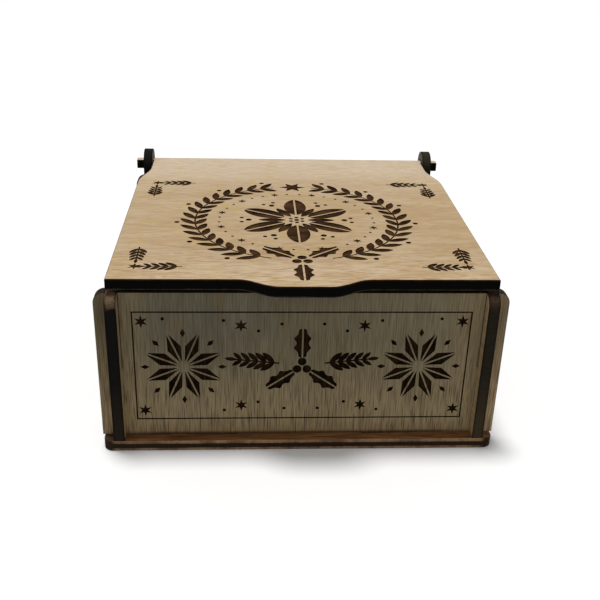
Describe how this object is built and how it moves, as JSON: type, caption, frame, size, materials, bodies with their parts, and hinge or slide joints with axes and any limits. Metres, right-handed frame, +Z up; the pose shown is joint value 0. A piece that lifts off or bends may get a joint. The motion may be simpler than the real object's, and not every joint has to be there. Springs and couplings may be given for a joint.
{
  "type": "keepsake box",
  "caption": "Small square keepsake box of interlocking flat plywood panels, with a flat lid that turns on square pegs cut in its own rear corners.",
  "frame": {"origin": "centre of the outline of the four walls, on the underside of the bottom panel that the box rests on", "axes": "+Z up, +Y from the finger tab to the hinge, +X to the right as seen from the finger tab"},
  "size_m": [0.1064, 0.1104, 0.0531],
  "materials": {
    "bottom_plywood": "bare three-ply sheet, brown with laser smoke, edges burnt dark",
    "wall_plywood": "bare three-ply sheet, upright grain, engraved dark, edges burnt dark",
    "side_plywood": "bare three-ply sheet, lengthwise grain, edges burnt dark",
    "lid_plywood": "bare pale three-ply sheet, engraved dark brown, edges burnt dark"
  },
  "bodies": {
    "box": {"bottom_panel": "bottom_plywood", "front_panel": "wall_plywood", "back_panel": "wall_plywood", "left_side": "side_plywood", "right_side": "side_plywood"},
    "lid": {"lid": "lid_plywood"}
  },
  "joints": [
    {"name": "lid_hinge", "type": "hinge", "parent": "box", "child": "lid", "pos_m": [0, 0.04925, 0.0481], "axis": [-1, 0, 0], "range_deg": [0, 205]}
  ]
}
